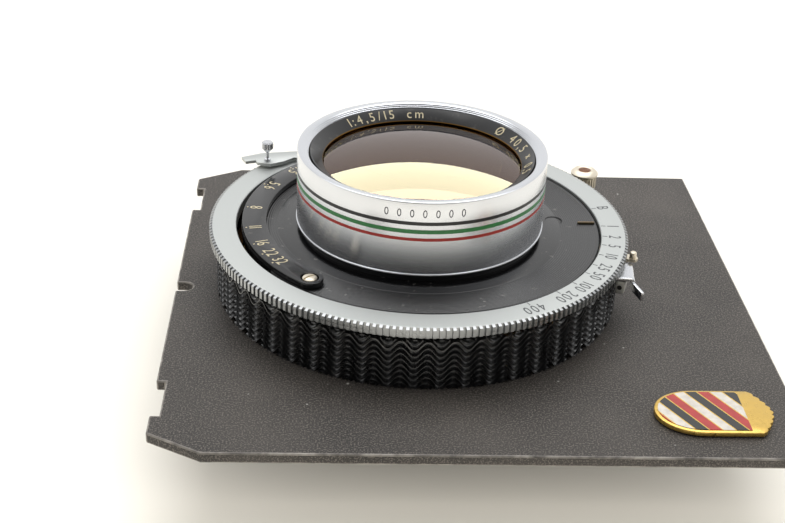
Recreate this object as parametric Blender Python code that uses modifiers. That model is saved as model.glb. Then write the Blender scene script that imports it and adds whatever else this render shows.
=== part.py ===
"""A large-format taking lens in a rim-set leaf shutter, mounted on a technical-camera lens board.

Sizes are in millimetres and turned to metres by MM. Heights called z are measured from the board's top face,
and radii and angles are measured about the optical axis, with 0 degrees at +X and angles growing towards +Y.
"""

from math import asin, atan2, cos, degrees, hypot, radians, sin, sqrt

import bmesh
import bpy
from mathutils import Matrix, Vector

MM = 0.001

# --- driving dimensions, in millimetres and degrees ---
BOARD_WIDTH, BOARD_DEPTH, BOARD_THICK = 99.0, 96.0, 1.8
REAR_REACH = 16.0                          # how far the rear cell stands out behind the board
AXIS_X, AXIS_Y = -7.7, 3.8                 # optical axis from the board's centre
BOARD_TOP = REAR_REACH + BOARD_THICK       # height of the board's top face above the rear rim
GAP = 0.3                                  # clearance between touching pieces

BOARD_HOLE_R = 20.9
BOSS_R, BORE_R = 20.4, 17.9                # the shutter's rear boss and the bore for the rear cell
HOUSING_R, HOUSING_WALL = 34.9, 1.7
HOUSING_BOTTOM, HOUSING_TOP = 1.3, 9.46
CLEAR_R = 15.4                             # free opening of the shutter

RING_R, RING_INNER_R = 36.0, 31.55         # speed ring
RING_BOTTOM, RING_TOP = 9.76, 11.6
FACE_R, FACE_BOTTOM, FACE_TOP = 31.2, 10.0, 11.2

BLADE_COUNT = 10                           # iris leaves
BLADE_Z, BLADE_PITCH, BLADE_THICK = 3.15, 0.18, 0.1
BLADE_INNER_R, BLADE_OUTER_R, BLADE_PIVOT_R = 15.4, 23.6, 24.8
BLADE_SPAN = (-5.0, 112.0)
BLADE_ARM = 8.5                            # pivot to cam pin
IRIS_TURN, SETTING_TURN = 30.9, 72.5       # leaf turn and setting-ring turn from f/4.5 to f/32

LEAF_COUNT = 5                             # shutter leaves
LEAF_Z, LEAF_PITCH, LEAF_THICK = 6.5, 0.2, 0.12
LEAF_INNER_R, LEAF_OUTER_R, LEAF_PIVOT_R = 15.5, 25.6, 27.0
LEAF_SPAN = (-6.0, 111.0)
LEAF_ARM = 3.2
DRIVE_TURN = 30.0
LEAF_TURN = 2.0 * degrees(asin(16.9 / (2.0 * LEAF_PIVOT_R)))

BARREL_R, BARREL_BOTTOM, BARREL_TOP = 21.1, 12.5, 25.47
GLASS_R, GLASS_SEAT_R = 18.3, 18.6
FRONT_APEX, FRONT_CURVE = 25.1, 61.8

SCALE_SPAN = (118.0, 234.0)                # aperture scale plate
GRIP_R, GRIP_ANGLE = 34.6, 141.6           # grip pin of the aperture lever at f/4.5
COCK_ANGLE, RELEASE_ANGLE = -19.5, -12.0
SOCKET_R, SOCKET_ANGLE = 38.8, 34.0
LEVER_LOW, LEVER_HIGH = 8.72, 9.25         # cocking and release levers

PIN_R, PIN_CLEAR = 0.45, 0.12
CAM_PIN_R = 0.4
FINE, COARSE = 48, 24                      # steps around visible and inner turned pieces

METALS = {                                 # colour, metallic, roughness
    "satin_chrome": ((0.76, 0.77, 0.78), 1.0, 0.28),
    "black_lacquer": ((0.02, 0.02, 0.022), 0.0, 0.35),
    "board_crinkle": ((0.075, 0.07, 0.066), 0.0, 0.7),
    "blade_steel": ((0.12, 0.12, 0.13), 0.8, 0.45),
    "brass": ((0.78, 0.6, 0.3), 1.0, 0.3),
    "nickel": ((0.72, 0.69, 0.62), 1.0, 0.3),
    "enamel": ((0.75, 0.12, 0.1), 0.0, 0.2),
    "lens_glass": ((0.85, 0.8, 0.66), 0.0, 0.03),
}


# --- scene, materials and shape helpers ---
def clear_scene():
    for item in list(bpy.data.objects):
        bpy.data.objects.remove(item, do_unlink=True)


def collection(name):
    group = bpy.data.collections.new(name)
    bpy.context.scene.collection.children.link(group)
    return group


def material(name):
    found = bpy.data.materials.get(name)
    if found:
        return found
    colour, metallic, roughness = METALS[name]
    found = bpy.data.materials.new(name)
    found.use_nodes = True
    shader = found.node_tree.nodes["Principled BSDF"]
    shader.inputs["Base Color"].default_value = (*colour, 1.0)
    shader.inputs["Metallic"].default_value = metallic
    shader.inputs["Roughness"].default_value = roughness
    return found


def polar(radius, angle, centre=(0.0, 0.0)):
    return (centre[0] + radius * cos(radians(angle)), centre[1] + radius * sin(radians(angle)))


def arc(radius, start, end, count, centre=(0.0, 0.0)):
    """Points on an arc, both ends included."""
    return [polar(radius, start + (end - start) * i / count, centre) for i in range(count + 1)]


def circle(radius, count=COARSE, centre=(0.0, 0.0)):
    return arc(radius, 0.0, 360.0, count, centre)[:-1]


def turned_about(point, pivot, angle):
    """A point turned about a pivot by an angle in degrees."""
    x, y = point[0] - pivot[0], point[1] - pivot[1]
    c, s = cos(radians(angle)), sin(radians(angle))
    return (pivot[0] + x * c - y * s, pivot[1] + x * s + y * c)


def place(piece, material_name, parent, location=(0.0, 0.0, 0.0), turn=0.0):
    """Puts a piece on its parent, with its material."""
    PARTS.objects.link(piece)
    piece.data.materials.append(material(material_name))
    piece.parent = parent
    piece.location = [value * MM for value in location]
    piece.rotation_euler = (0.0, 0.0, radians(turn))
    piece.data.shade_smooth()
    piece.data.set_sharp_from_angle(angle=radians(35.0))
    return piece


def flat_mesh(name, outlines, bottom, top):
    """A flat sheet from closed outlines, the inner ones being holes, as a welded mesh."""
    curve = bpy.data.curves.new(name, "CURVE")
    curve.dimensions = "2D"
    curve.fill_mode = "BOTH"
    curve.extrude = 0.5 * (top - bottom) * MM
    for outline in outlines:
        spline = curve.splines.new("POLY")
        spline.points.add(len(outline) - 1)
        for point, (x, y) in zip(spline.points, outline):
            point.co = (x * MM, y * MM, 0.0, 1.0)
        spline.use_cyclic_u = True
    drawing = bpy.data.objects.new(name + "_drawing", curve)
    bpy.context.scene.collection.objects.link(drawing)
    seen = drawing.evaluated_get(bpy.context.evaluated_depsgraph_get())
    mesh = bpy.data.meshes.new_from_object(seen)
    mesh.name = name
    bpy.data.objects.remove(drawing, do_unlink=True)
    work = bmesh.new()
    work.from_mesh(mesh)
    bmesh.ops.remove_doubles(work, verts=work.verts, dist=1e-7)
    bmesh.ops.translate(work, vec=(0.0, 0.0, 0.5 * (bottom + top) * MM), verts=work.verts)
    bmesh.ops.recalc_face_normals(work, faces=work.faces)
    work.to_mesh(mesh)
    work.free()
    return mesh


def sheet(name, outlines, bottom, top, material_name, parent, **where):
    piece = bpy.data.objects.new(name, flat_mesh(name, outlines, bottom, top))
    return place(piece, material_name, parent, **where)


def spun(name, profile, material_name, parent, steps=FINE, closed=True, **where):
    """A turned piece. The profile holds (radius, z) and runs down its outer side."""
    mesh = bpy.data.meshes.new(name)
    points = [(radius * MM, 0.0, z * MM) for radius, z in profile]
    last = len(points)
    edges = [(i, i + 1) for i in range(last - 1)] + ([(last - 1, 0)] if closed else [])
    mesh.from_pydata(points, edges, [])
    piece = bpy.data.objects.new(name, mesh)
    place(piece, material_name, parent, **where)
    screw = piece.modifiers.new("turn", "SCREW")
    screw.axis = "Z"
    screw.steps = screw.render_steps = steps
    screw.use_merge_vertices = True
    screw.merge_threshold = 1e-7
    screw.use_smooth_shade = True
    return piece


def band(outer, inner, bottom, top):
    """A turned ring's rectangular section."""
    return [(outer, top), (outer, bottom), (inner, bottom), (inner, top)]


def tool_mesh(name, build):
    """A hidden solid, made by a function on an empty bmesh, for cutting or joining."""
    work = bmesh.new()
    build(work)
    mesh = bpy.data.meshes.new(name)
    work.to_mesh(mesh)
    work.free()
    return tool_object(name, mesh)


def tool_object(name, mesh):
    tool = bpy.data.objects.new(name, mesh)
    TOOLS.objects.link(tool)
    tool.parent = AXIS
    tool.hide_render = True
    tool.display_type = "WIRE"
    return tool


def add_peg(work, centre, radius, bottom, top, segments=12, top_radius=None):
    """A closed cylinder or cone in a bmesh."""
    made = bmesh.ops.create_cone(
        work, cap_ends=True, segments=segments, radius1=radius * MM,
        radius2=(radius if top_radius is None else top_radius) * MM, depth=(top - bottom) * MM,
    )
    middle = (centre[0] * MM, centre[1] * MM, 0.5 * (bottom + top) * MM)
    bmesh.ops.translate(work, vec=middle, verts=made["verts"])


def add_block(work, near, far, bottom, top, half_width, angle):
    """A closed block that reaches from one radius to another along an angle."""
    made = bmesh.ops.create_cube(work, size=1.0)
    size = ((far - near) * MM, 2.0 * half_width * MM, (top - bottom) * MM)
    bmesh.ops.scale(work, vec=size, verts=made["verts"])
    middle = Vector((0.5 * (near + far), 0.0, 0.5 * (bottom + top))) * MM
    bmesh.ops.translate(work, vec=middle, verts=made["verts"])
    for vert in made["verts"]:
        vert.co.xy = turned_about(vert.co.xy, (0.0, 0.0), angle)


def combine(piece, tool, operation):
    change = piece.modifiers.new(operation.lower(), "BOOLEAN")
    change.operation = operation
    change.object = tool
    change.solver = "EXACT"
    change.use_self = operation == "UNION"


def rounded_box(half_x, half_y, radius, centre):
    """A rectangle's outline with round corners."""
    outline = []
    for sx, sy, start in ((1, 1, 0), (-1, 1, 90), (-1, -1, 180), (1, -1, 270)):
        corner = (centre[0] + sx * (half_x - radius), centre[1] + sy * (half_y - radius))
        outline += arc(radius, start, start + 90, 4, corner)
    return outline


# --- board and what is fixed to it ---
def make_board():
    left, right = -0.5 * BOARD_WIDTH, 0.5 * BOARD_WIDTH
    front, back = -0.5 * BOARD_DEPTH, 0.5 * BOARD_DEPTH
    chamfer_x, chamfer_y = 8.3, 4.7
    notch_depth, notch_near, notch_far = 1.5, 29.6, 38.8
    slot_half, slot_depth = 1.45, 2.9
    upper = [(right, back), (left + chamfer_x, back), (left, back - chamfer_y),
             (left, notch_far), (left + notch_depth, notch_far),
             (left + notch_depth, notch_near), (left, notch_near), (left, slot_half)]
    slot_end = arc(slot_half, 90.0, -90.0, 6, (left + slot_depth - slot_half, 0.0))
    lower = [(x, -y) for x, y in reversed(upper)]
    outline = [(x - AXIS_X, y - AXIS_Y) for x, y in upper + slot_end + lower]
    sheet("lens_board", [outline, circle(BOARD_HOLE_R, FINE)], -BOARD_THICK, 0.0, "board_crinkle", AXIS)


def make_light_trap():
    centre = (-AXIS_X, -AXIS_Y)
    half_x, half_y, width, top = 43.0, 41.0, 3.5, -BOARD_THICK - GAP
    bottom = top - 2.4
    outlines = [rounded_box(half_x, half_y, 3.0, centre),
                rounded_box(half_x - width, half_y - width, 1.5, centre)]
    sheet("light_trap_frame", outlines, bottom, top, "black_lacquer", AXIS)
    for number, (sx, sy) in enumerate(((1, 1), (-1, 1), (-1, -1), (1, -1)), start=1):
        spot = (centre[0] + sx * (half_x - 2.2), centre[1] + sy * (half_y - 2.2))
        head = [(0.0, bottom - 0.2), (1.1, bottom - 0.2), (1.1, bottom - 0.45), (0.7, bottom - 0.8),
                (0.0, bottom - 0.8)]
        spun(f"frame_rivet_{number}", head, "nickel", AXIS, steps=16, closed=False, location=(*spot, 0.0))


def badge_outline(inset):
    """The badge's outline: a half-oval left end, straight sides and a pointed right end."""
    left, right, low, high = 34.4 + inset, 52.8 - 1.6 * inset, -46.7 + inset, -35.6 - inset
    middle, half = 0.5 * (low + high), 0.5 * (high - low)
    oval = 1.3 * half
    shoulder, point = right - 3.4, right - 1.6
    end = [(left + oval - oval * sin(radians(a)), middle + half * cos(radians(a))) for a in range(0, 181, 15)]
    return end + [(shoulder, low), (point, middle - 0.5 * half), (right, middle), (point, middle + 0.5 * half),
                  (shoulder, high)]


def make_badge():
    sheet("badge_base", [badge_outline(0.0)], GAP, 0.85, "brass", AXIS)
    sheet("badge_enamel", [badge_outline(0.8)], 0.95, 1.25, "enamel", AXIS)


def make_mounting():
    spun("seal_washer", band(31.0, 21.0, GAP, 1.0), "black_lacquer", AXIS)
    top = -BOARD_THICK - GAP
    outline = []
    for notch in range(4):
        middle = 45.0 + 90.0 * notch
        outline += arc(25.2, middle - 41.0, middle + 41.0, 12)
        outline += arc(23.4, middle + 41.5, middle + 48.5, 2)
    sheet("retaining_ring", [outline, circle(BOSS_R + GAP, COARSE)], top - 2.6, top, "blade_steel", AXIS)


def make_housing():
    floor_top, boss_bottom = HOUSING_BOTTOM + 1.0, -6.5
    inner = HOUSING_R - HOUSING_WALL
    profile = [(HOUSING_R, HOUSING_TOP), (HOUSING_R, HOUSING_BOTTOM), (BOSS_R, HOUSING_BOTTOM),
               (BOSS_R, boss_bottom), (BORE_R, boss_bottom), (BORE_R, floor_top), (inner, floor_top),
               (inner, HOUSING_TOP)]
    housing = spun("shutter_housing", profile, "black_lacquer", AXIS)
    slot = [arc(40.0, -70.0, -2.0, 24) + arc(31.0, -2.0, -70.0, 24)]
    cutter = tool_object("lever_slot_cutter", flat_mesh("lever_slot_cutter", slot, LEVER_LOW - 0.15, 12.0))
    combine(housing, cutter, "DIFFERENCE")


# --- iris ---
def leaf_outline(pivot_r, arm_tip, inner, outer, span):
    """A crescent leaf, drawn open, with an ear round its pivot and an arm to its cam pin."""
    ear, pad = 1.7, 1.1
    pivot = (pivot_r, 0.0)
    outline = arc(inner, span[0], span[1], 12)
    middle, half = 0.5 * (inner + outer), 0.5 * (outer - inner)
    outline += arc(half, span[1] + 180.0, span[1], 5, polar(middle, span[1]))[1:-1]
    outline += arc(outer, span[1], 6.0, 10)
    outline += arc(ear, 88.0, 0.0, 3, pivot)
    outline += arc(pad, 0.0, -180.0, 5, arm_tip)
    return outline + [polar(outer, span[0])]


def cam_slot(tip, pivot, leaf_turn, ring_turn, half_width):
    """The slot that a leaf's cam pin follows in a ring, from the pin's own path seen from the turning ring."""
    steps = 12
    path = []
    for i in range(steps + 1):
        share = i / steps
        seen = turned_about(tip, pivot, leaf_turn * share)
        path.append(turned_about(seen, (0.0, 0.0), -ring_turn * share))
    left, right = [], []
    for i, (x, y) in enumerate(path):
        before, after = path[max(i - 1, 0)], path[min(i + 1, steps)]
        run = hypot(after[0] - before[0], after[1] - before[1])
        nx, ny = -(after[1] - before[1]) / run, (after[0] - before[0]) / run
        left.append((x + nx * half_width, y + ny * half_width))
        right.append((x - nx * half_width, y - ny * half_width))
    heading = degrees(atan2(path[-1][1] - path[-2][1], path[-1][0] - path[-2][0]))
    start = degrees(atan2(path[1][1] - path[0][1], path[1][0] - path[0][0]))
    far_end = arc(half_width, heading + 90.0, heading - 90.0, 4, path[-1])[1:-1]
    near_end = arc(half_width, start - 90.0, start - 270.0, 4, path[0])[1:-1]
    return left + far_end + right[::-1] + near_end


def arm_tip(pivot_r, arm, radius):
    """Where a leaf's cam pin sits when its arm is this long and the pin is at this radius."""
    along = (radius ** 2 - pivot_r ** 2 - arm ** 2) / (2.0 * pivot_r)
    return (pivot_r + along, -sqrt(arm ** 2 - along ** 2))


def turned_outline(outline, angle):
    return [turned_about(point, (0.0, 0.0), angle) for point in outline]


def pinned_plate(name, outer, bottom, top, pin_top, count, pivot_r):
    """A plate with the pivot pins of its leaves."""
    plate = sheet(name, [circle(outer, FINE), circle(CLEAR_R, COARSE)], bottom, top, "blade_steel", AXIS)

    def pins(work):
        for i in range(count):
            add_peg(work, polar(pivot_r, 360.0 * i / count), PIN_R, 0.5 * (bottom + top), pin_top, 10)

    combine(plate, tool_mesh(name + "_pins", pins), "UNION")


def make_leaf(name, outline, pivot_r, tip, level, thick, pin_top, turn, number, count):
    """One leaf on its pivot. Its outline is about the optical axis and its origin is the pivot."""
    hole = circle(PIN_R + PIN_CLEAR, 10, (pivot_r, 0.0))
    moved = [[turned_about((x - pivot_r, y), (0.0, 0.0), turn) for x, y in ring] for ring in (outline, hole)]
    spot = polar(pivot_r, 360.0 * number / count)
    leaf = sheet(name, moved, level, level + thick, "blade_steel", AXIS, location=(*spot, 0.0),
                 turn=360.0 * number / count)
    pin_at = turned_about((tip[0] - pivot_r, tip[1]), (0.0, 0.0), turn)
    pin_low = level + 0.4 * thick
    pin = tool_mesh(name + "_pin", lambda work: add_peg(work, pin_at, CAM_PIN_R, pin_low, pin_top, 8))
    pin.location = leaf.location
    pin.rotation_euler = leaf.rotation_euler
    combine(leaf, pin, "UNION")


def make_iris():
    ring_bottom, ring_top = 5.15, 5.65
    pinned_plate("iris_plate", 32.8, 2.6, 3.0, 4.95, BLADE_COUNT, BLADE_PIVOT_R)
    tip = arm_tip(BLADE_PIVOT_R, BLADE_ARM, 27.0)
    outline = leaf_outline(BLADE_PIVOT_R, tip, BLADE_INNER_R, BLADE_OUTER_R, BLADE_SPAN)
    for number in range(BLADE_COUNT):
        level = BLADE_Z + BLADE_PITCH * number
        make_leaf(f"iris_blade_{number + 1:02d}", outline, BLADE_PIVOT_R, tip, level, BLADE_THICK,
                  ring_top - 0.05, 0.0, number, BLADE_COUNT)
    slot = cam_slot(tip, (BLADE_PIVOT_R, 0.0), IRIS_TURN, SETTING_TURN, CAM_PIN_R + PIN_CLEAR)
    slots = [turned_outline(slot, 360.0 * i / BLADE_COUNT) for i in range(BLADE_COUNT)]
    outlines = [circle(32.4, FINE), circle(25.8, COARSE)] + slots
    sheet("aperture_ring", outlines, ring_bottom, ring_top, "brass", AXIS)


def make_aperture_lever():
    """The setting lever: a strip over the speed ring, with a tab down to the aperture ring."""
    low, high, near = RING_TOP + 0.4, RING_TOP + 0.95, 30.75
    strip = [(-32.0, 22.9), (-31.1, 21.0), (-29.3, 21.6), (-29.0, 20.7), (-26.6, 20.0), (-24.1, 21.4),
             (-22.3, 23.2)]
    strip += arc(near, 132.0, 127.5, 4) + [(-20.4, 26.3), (-25.9, 25.3), (-28.3, 24.9)]
    lever = sheet("aperture_lever", [strip], low, high, "satin_chrome", AXIS)
    tab = [arc(near, 128.0, 131.5, 3) + arc(near + 0.5, 131.5, 128.0, 3)]
    combine(lever, tool_object("lever_tab", flat_mesh("lever_tab", tab, 5.95, 0.5 * (low + high))), "UNION")
    base = high + 0.1
    head = [(0.0, base + 3.75), (0.8, base + 3.75), (1.0, base + 3.5), (0.9, base + 2.3), (0.45, base + 1.4),
            (0.45, base), (0.0, base)]
    spun("aperture_pin", head, "satin_chrome", AXIS, steps=20, closed=False,
         location=(*polar(GRIP_R, GRIP_ANGLE), 0.0))


# --- shutter ---
def make_shutter():
    pinned_plate("shutter_plate", 30.2, 5.95, 6.35, 7.5, LEAF_COUNT, LEAF_PIVOT_R)
    tip = arm_tip(LEAF_PIVOT_R, LEAF_ARM, 27.4)
    outline = leaf_outline(LEAF_PIVOT_R, tip, LEAF_INNER_R, LEAF_OUTER_R, LEAF_SPAN)
    for number in range(LEAF_COUNT):
        level = LEAF_Z + LEAF_PITCH * number
        make_leaf(f"shutter_blade_{number + 1}", outline, LEAF_PIVOT_R, tip, level, LEAF_THICK, 8.05,
                  LEAF_TURN, number, LEAF_COUNT)
    pivot = (LEAF_PIVOT_R, 0.0)
    closed_tip = turned_about(tip, pivot, LEAF_TURN)
    slot = cam_slot(closed_tip, pivot, -LEAF_TURN, DRIVE_TURN, CAM_PIN_R + PIN_CLEAR)
    slots = [turned_outline(slot, 360.0 * i / LEAF_COUNT) for i in range(LEAF_COUNT)]
    sheet("blade_drive_ring", [circle(30.2, FINE), circle(26.2, COARSE)] + slots, 7.65, 8.1, "brass", AXIS)


def make_levers():
    """The cocking lever with its finger tab, the release lever with its stud, and the mainspring."""
    low, high = LEVER_LOW, LEVER_HIGH
    arm = arc(30.2, COCK_ANGLE + 5.2, COCK_ANGLE + 352.0, 44)
    arm += [(32.6, -14.75), (35.35, -15.15), (35.85, -9.75)]
    cocking = sheet("cocking_lever", [arm, circle(26.2, COARSE)], low, high, "satin_chrome", AXIS)
    flap = [(35.3, -10.0), (34.85, -15.0), (35.9, -18.5), (36.4, -18.35), (35.32, -15.05), (35.78, -9.95)]
    combine(cocking, tool_object("lever_flap", flat_mesh("lever_flap", [flap], 7.0, 9.0)), "UNION")
    middle = RELEASE_ANGLE
    outline = arc(30.8, middle - 1.4, middle + 9.0, 6)
    outline += [polar(32.8, middle + 9.0), polar(33.2, middle + 2.0)]
    outline += [polar(37.5, middle + 1.5), polar(37.9, middle), polar(37.5, middle - 1.2)]
    outline += [polar(33.2, middle - 1.4)]
    release = sheet("release_lever", [outline], low, high, "nickel", AXIS)
    stud_at = polar(37.0, middle)
    stud = tool_mesh("release_stud", lambda work: add_peg(work, stud_at, 0.6, low + 0.2, 10.9, 12))
    combine(release, stud, "UNION")
    coil = bpy.data.curves.new("mainspring", "CURVE")
    coil.dimensions = "3D"
    coil.bevel_depth = 0.2 * MM
    coil.bevel_resolution = 1
    coil.use_fill_caps = True
    points = [(*polar(21.0 + 3.6 * i / 40, 200.0 + 250.0 * i / 40), 9.3) for i in range(41)]
    spline = coil.splines.new("POLY")
    spline.points.add(len(points) - 1)
    for point, (x, y, z) in zip(spline.points, points):
        point.co = (x * MM, y * MM, z * MM, 1.0)
    spring = bpy.data.objects.new("mainspring", coil)
    PARTS.objects.link(spring)
    coil.materials.append(material("blade_steel"))
    spring.parent = AXIS


def make_side_fittings():
    """The cable release socket and the flash contact block on the side of the housing."""
    centre = polar(SOCKET_R, SOCKET_ANGLE)
    mouth, top, bottom = 1.1, 12.0, 2.2
    profile = [(2.0, top), (2.5, top - 0.5), (2.5, 9.0), (2.2, 8.6), (2.2, bottom), (0.6, bottom), (0.6, 8.0),
               (mouth, top)]
    spun("cable_release_socket", profile, "nickel", AXIS, steps=28, location=(*centre, 0.0))
    block = tool_mesh("bracket_block", lambda work: add_block(work, 35.2, 42.2, 3.2, 6.6, 3.2, SOCKET_ANGLE))
    bracket = bpy.data.objects.new("socket_bracket", block.data.copy())
    bpy.data.objects.remove(block, do_unlink=True)
    place(bracket, "black_lacquer", AXIS)
    hole = tool_mesh("bracket_hole", lambda work: add_peg(work, centre, 2.2 + GAP, 2.0, 8.0, 28))
    combine(bracket, hole, "DIFFERENCE")
    shape = tool_mesh("contact_block", lambda work: add_block(work, 35.2, 36.4, 5.4, 7.9, 1.6, COCK_ANGLE))
    contact = bpy.data.objects.new("flash_contact", shape.data.copy())
    bpy.data.objects.remove(shape, do_unlink=True)
    place(contact, "blade_steel", AXIS)

    def contact_hole(work):
        made = bmesh.ops.create_cone(work, cap_ends=True, segments=14, radius1=0.35 * MM, radius2=0.35 * MM,
                                     depth=4.0 * MM)
        place_at = Matrix.Translation((35.8 * MM, -2.0 * MM, 6.7 * MM))
        turn = Matrix.Rotation(radians(COCK_ANGLE), 4, "Z") @ place_at @ Matrix.Rotation(radians(90.0), 4, "X")
        bmesh.ops.transform(work, matrix=turn, verts=made["verts"])

    combine(contact, tool_mesh("contact_hole", contact_hole), "DIFFERENCE")


# --- front of the shutter ---
def make_front():
    notch = (125.0, 217.0)                     # the aperture lever's tab travels along this stretch
    edge = arc(FACE_R, notch[1] - 360.0, notch[0], 50) + arc(30.45, notch[0], notch[1], 18)
    sheet("face_plate", [edge, circle(18.4, COARSE)], FACE_BOTTOM, FACE_TOP, "black_lacquer", AXIS)
    bevel = 0.25
    profile = [(RING_R - bevel, RING_TOP), (RING_R, RING_TOP - bevel), (RING_R, RING_BOTTOM + bevel),
               (RING_R - bevel, RING_BOTTOM), (RING_INNER_R, RING_BOTTOM), (RING_INNER_R, RING_TOP)]
    spun("speed_ring", profile, "satin_chrome", AXIS)
    steps, inner = 10, []
    for step in range(steps):
        inner += arc(31.6 + 0.09 * step, 36.0 * step, 36.0 * step + 34.0, 5)
    sheet("speed_cam_ring", [circle(32.9, COARSE), inner], 9.42, 9.66, "brass", AXIS)


def make_scale_plate():
    inner, outer, bottom, top = 26.3, 30.4, FACE_TOP + GAP, FACE_TOP + 1.0
    middle, half = 0.5 * (inner + outer), 0.5 * (outer - inner)
    start, end = SCALE_SPAN
    margin = degrees(half / middle)
    outline = arc(outer, start + margin, end - margin, 40)
    outline += arc(half, end - margin, end - margin + 180.0, 8, polar(middle, end - margin))[1:-1]
    outline += arc(inner, end - margin, start + margin, 36)
    outline += arc(half, start + margin + 180.0, start + margin + 360.0, 8, polar(middle, start + margin))[1:-1]
    spots = [polar(middle, end - margin - 0.4), polar(middle, start + margin + 0.4)]
    holes = [circle(1.5, 20, spot) for spot in spots]
    sheet("aperture_scale_plate", [outline] + holes, bottom, top, "black_lacquer", AXIS)
    for number, spot in enumerate(spots, start=1):
        head = [(0.0, top + 0.2), (1.0, top + 0.2), (1.2, top), (1.2, bottom), (0.0, bottom)]
        screw = spun(f"scale_screw_{number}", head, "nickel", AXIS, steps=24, closed=False, location=(*spot, 0.0))

        def driver(work, spot=spot):
            made = bmesh.ops.create_cube(work, size=1.0)
            bmesh.ops.scale(work, vec=(4.0 * MM, 0.3 * MM, 0.6 * MM), verts=made["verts"])
            bmesh.ops.translate(work, vec=(spot[0] * MM, spot[1] * MM, (top + 0.2) * MM), verts=made["verts"])

        combine(screw, tool_mesh(f"driver_slot_{number}", driver), "DIFFERENCE")
    mark = [(27.7, -0.5), (30.9, -0.5), (30.9, 0.5), (27.7, 0.5)]
    sheet("speed_index", [mark], FACE_TOP + 0.1, FACE_TOP + 0.35, "brass", AXIS, turn=2.0)


# --- front cell, rear cell and glass ---
def surface(apex, curve, radius, count=5):
    """(radius, z) points of a spherical face from the axis out. A positive curve bows towards +Z."""
    sign = 1.0 if curve > 0 else -1.0
    size = abs(curve)
    radii = [radius * i / count for i in range(count + 1)]
    return [(r, apex - sign * (size - sqrt(size ** 2 - r ** 2))) for r in radii]


def lens(name, front, back, radius):
    """A lens element from its front and back faces, each (apex height, curvature radius)."""
    profile = surface(*front, radius) + surface(*back, radius)[::-1]
    spun(name, profile, "lens_glass", AXIS, steps=COARSE, closed=False)


def make_front_cell():
    thread_r, thread_bore, seat = 18.1, 16.6, 15.6
    profile = [(BARREL_R - 0.25, BARREL_TOP), (BARREL_R, BARREL_TOP - 0.25), (BARREL_R, BARREL_BOTTOM + 0.2),
               (BARREL_R - 0.2, BARREL_BOTTOM), (thread_r, BARREL_BOTTOM), (thread_r, 8.6), (thread_bore, 8.6),
               (thread_bore, seat), (GLASS_SEAT_R, seat), (GLASS_SEAT_R, 22.0), (19.2, 22.4),
               (19.4, BARREL_TOP - 0.6), (19.8, BARREL_TOP)]
    spun("front_barrel", profile, "satin_chrome", AXIS)
    lens("front_glass_outer", (FRONT_APEX, FRONT_CURVE), (18.6, -60.0), GLASS_R)
    lens("front_glass_inner", (18.5, -60.0), (16.9, 220.0), GLASS_R)
    ring = [(18.9, 24.6), (18.9, 23.0), (17.2, 23.0), (16.8, 23.15)]
    spun("name_ring", ring, "black_lacquer", AXIS)
    spun("element_spacer", band(16.3, 15.3, 12.95, 15.3), "black_lacquer", AXIS, steps=COARSE)
    lens("centre_glass", (11.7, -130.0), (10.4, 130.0), 16.3)
    spun("centre_retainer", band(16.3, 15.3, 8.7, 9.1), "black_lacquer", AXIS, steps=COARSE)


def make_rear_cell():
    rim = -BOARD_TOP
    thread_r, bore = 17.6, 16.2
    profile = [(thread_r, 1.8), (thread_r, -6.8), (21.5, -6.8), (21.5, -9.4), (19.2, -11.0), (18.2, rim + 0.3),
               (17.9, rim), (16.9, rim), (bore, rim + 1.2), (bore, 1.8)]
    spun("rear_barrel", profile, "black_lacquer", AXIS)
    lens("rear_glass_inner", (-8.6, -160.0), (-10.2, 75.0), 15.9)
    lens("rear_glass_outer", (-10.3, 75.0), (-15.4, -70.0), 15.9)
    spun("rear_retainer", band(15.9, 14.9, rim + 0.9, rim + 2.0), "black_lacquer", AXIS, steps=COARSE)


clear_scene()
PARTS = collection("shutter_mounted_lens")
TOOLS = collection("cutters")
AXIS = bpy.data.objects.new("optical_axis", None)
PARTS.objects.link(AXIS)
AXIS.location = (AXIS_X * MM, AXIS_Y * MM, BOARD_TOP * MM)
bpy.context.view_layer.update()

make_board()
make_light_trap()
make_badge()
make_mounting()
make_housing()
make_iris()
make_aperture_lever()
make_shutter()
make_levers()
make_side_fittings()
make_front()
make_scale_plate()
make_front_cell()
make_rear_cell()
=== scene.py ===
"""The finished look of a lens in a leaf shutter on its board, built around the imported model.

Pieces are drawn in lens space, which is in millimetres, with the optical axis at the origin and height zero
on the board's top face. Angles start at the board's right and grow anticlockwise, seen from the front of the
lens. finish_piece moves a piece to the model's frame.
"""

from math import atan2, cos, degrees, floor, hypot, pi, radians, sin, sqrt

import bmesh
import bpy
from bpy.props import FloatProperty, FloatVectorProperty, IntProperty, PointerProperty
from mathutils import Matrix, Vector


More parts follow.
